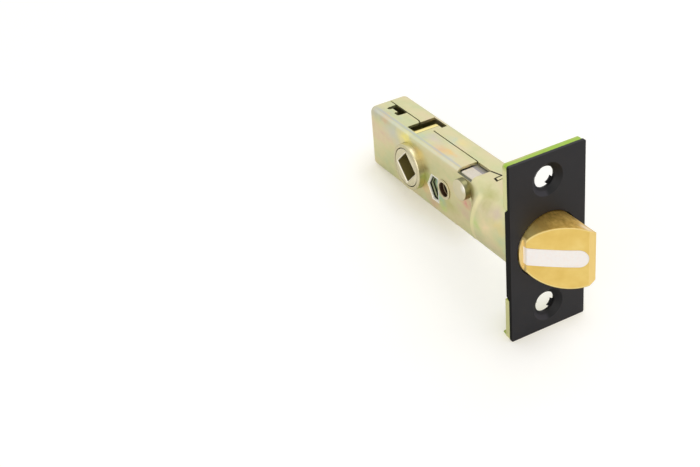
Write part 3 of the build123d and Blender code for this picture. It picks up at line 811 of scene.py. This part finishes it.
def merge_poles(piece):
    """Merge points that lie on each other and turn the faces outwards."""
    shape = bmesh.new()
    shape.from_mesh(piece.data)
    bmesh.ops.remove_doubles(shape, verts=shape.verts, dist=mm(0.001))
    bmesh.ops.recalc_face_normals(shape, faces=shape.faces)
    shape.to_mesh(piece.data)
    shape.free()


print("points in one turn:", coil_points((0, 1), 1, 0.1, 1)[1:-1].shape[:2])

# %% [markdown]
# The coil's ends lie a wire's radius inside the spring's rear and front. It goes with the case, and
# the spring's own solid is hidden.

# %% Coil spring of drawn steel wire
spring_rear, spring_front, wire_r, bolt_travel = -37.95, -10.2, 0.55, 12.4
coil_r, coil_turns = 3.75, 10.5
coil_ends = (spring_rear + wire_r, spring_front - wire_r)
coil = coil_points(coil_ends, coil_r, wire_r, coil_turns)
coil_spring = grid_piece("coil_spring", coil, wrap_columns=True)
merge_poles(coil_spring)
coil_spring.data.materials.append(steel)
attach(coil_spring, "case")
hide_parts("bolt_spring")
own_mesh(coil_spring)

# %% [markdown]
# ## The table
#
# The latch lies on the table on the lower edge of its face plate and the lower rear edge of its case,
# so seen in the latch's own frame the table is tilted. The floor is one plane through those two edges,
# large enough to fill the view, and a hair below them so that nothing lies in it.

# %% Floor
rest_front = Vector((0.0, 0.0, mm(-28.575)))
rest_rear = Vector((mm(-84.6), 0.0, mm(-10.55)))
floor_half, floor_gap = 1.6, mm(0.05)
across = Vector((0, 1, 0))
slope = (rest_rear - rest_front).normalized()
floor_up = across.cross(slope).normalized()
if floor_up.z < 0:
    floor_up = -floor_up
floor_middle = (rest_front + rest_rear) / 2 - floor_up * floor_gap
corner_signs = ((-1, -1), (-1, 1), (1, 1), (1, -1))
corners = [floor_middle + floor_half * (slope * a + across * b) for a, b in corner_signs]
floor_mesh = bpy.data.meshes.new("floor")
floor_mesh.from_pydata([tuple(c) for c in corners], [], [(0, 1, 2, 3)])
floor_mesh.update()
if floor_mesh.polygons[0].normal.dot(floor_up) < 0:
    floor_mesh.flip_normals()
floor = bpy.data.objects.new("floor", floor_mesh)
bpy.context.scene.collection.objects.link(floor)
print("table tilt in degrees:", round(math.degrees(math.acos(floor_up.z)), 1))

# %% [markdown]
# White paper in a bright studio comes out almost white, with a soft warm shadow close under the latch.
# More light would bleach the latch as well, so part of what the camera sees is the paper's own white
# and the rest is lit. Where little of the sky is seen, close under the latch, its own white turns grey
# and warm. From below, the paper is clear, so that other views aren't blocked.

# %% White table paper
def white_table(name):
    """White paper that keeps the soft shadow and is clear from below."""
    own_white, own_share, shade_reach, most_closed = 1.35, 0.42, 10.0, 0.45
    made, tree, _ = new_material(name)
    lit = add(tree, "BsdfDiffuse", {"Color": linear("#fbfaf6")})
    open_sky = add(tree, "AmbientOcclusion", {"Distance": mm(shade_reach)}, samples=4).outputs["AO"]
    shade = {"Value": open_sky, "From Min": most_closed, "From Max": 1.0, "To Min": 1.0, "To Max": 0.0}
    glow = add(tree, "MixRGB", [add(tree, "MapRange", shade), linear("#fffefa"), linear("#dad3be")])
    white = add(tree, "Emission", {"Color": glow, "Strength": own_white})
    seen = add(tree, "LightPath").outputs["Is Camera Ray"]
    share = add(tree, "Math", [seen, own_share], operation="MULTIPLY")
    face = add(tree, "MixShader", [share, lit, white])
    below = add(tree, "NewGeometry").outputs["Backfacing"]
    paper = add(tree, "MixShader", [below, face, add(tree, "BsdfTransparent")])
    add(tree, "OutputMaterial", {"Surface": paper})
    return made


floor_mesh.materials.append(white_table("white_table_paper"))
print("paper:", floor_mesh.materials[0].name)

# %% [markdown]
# ## The background
#
# Behind the table the picture is plain white, and the latch's metal mirrors the same white. The light
# that the surroundings cast is weaker and slightly blue, so what the camera, mirrors and glass see is
# kept apart from what lights the latch.

# %% World
world = bpy.data.worlds.new("studio")
bpy.context.scene.world = world
world.use_nodes = True
sky = world.node_tree
sky.nodes.clear()
lighting = add(sky, "Background", {"Color": linear("#f6f7fb"), "Strength": 0.55})
shown = add(sky, "Background", {"Color": linear("#ffffff"), "Strength": 1.0})
rays = add(sky, "LightPath").outputs
kinds = ("Is Camera Ray", "Is Glossy Ray", "Is Transmission Ray")
seen = fold(sky, "MAXIMUM", [rays[kind] for kind in kinds])
add(sky, "OutputWorld", {"Surface": add(sky, "MixShader", [seen, lighting, shown])})
print("world:", world.name)

# %% [markdown]
# ## The lamps
#
# Two large soft boxes light the latch: one high above its far side, which gives the top its sheen, and
# a larger, slightly warmer one on the camera's side, which lights the plate, the slope and the case's
# near side. The larger a lamp is, the softer is the edge of its shadow.

# %% Lamps
def soft_box(name, place, target, size, power, colour):
    """Make a square area lamp at place that faces target, with size in metres and power in watts."""
    data = bpy.data.lights.new(name, "AREA")
    data.size = size
    data.energy = power
    data.color = linear(colour)[:3]
    made = bpy.data.objects.new(name, data)
    aim = Vector(target) - Vector(place)
    facing = aim.to_track_quat("-Z", "Y").to_matrix().to_4x4()
    made.matrix_world = Matrix.Translation(place) @ facing
    bpy.context.scene.collection.objects.link(made)
    return made


middle = (mm(-35), 0, 0)
lamps = [
    soft_box("key", (-0.02, 0.42, 0.78), middle, 0.6, 2.4, "#fffdf8"),
    soft_box("fill", (0.55, -0.6, 0.42), middle, 0.8, 3.2, "#fffaf2"),
]
bpy.context.scene.view_settings.view_transform = "Standard"
print("lamps:", [lamp.name for lamp in lamps])
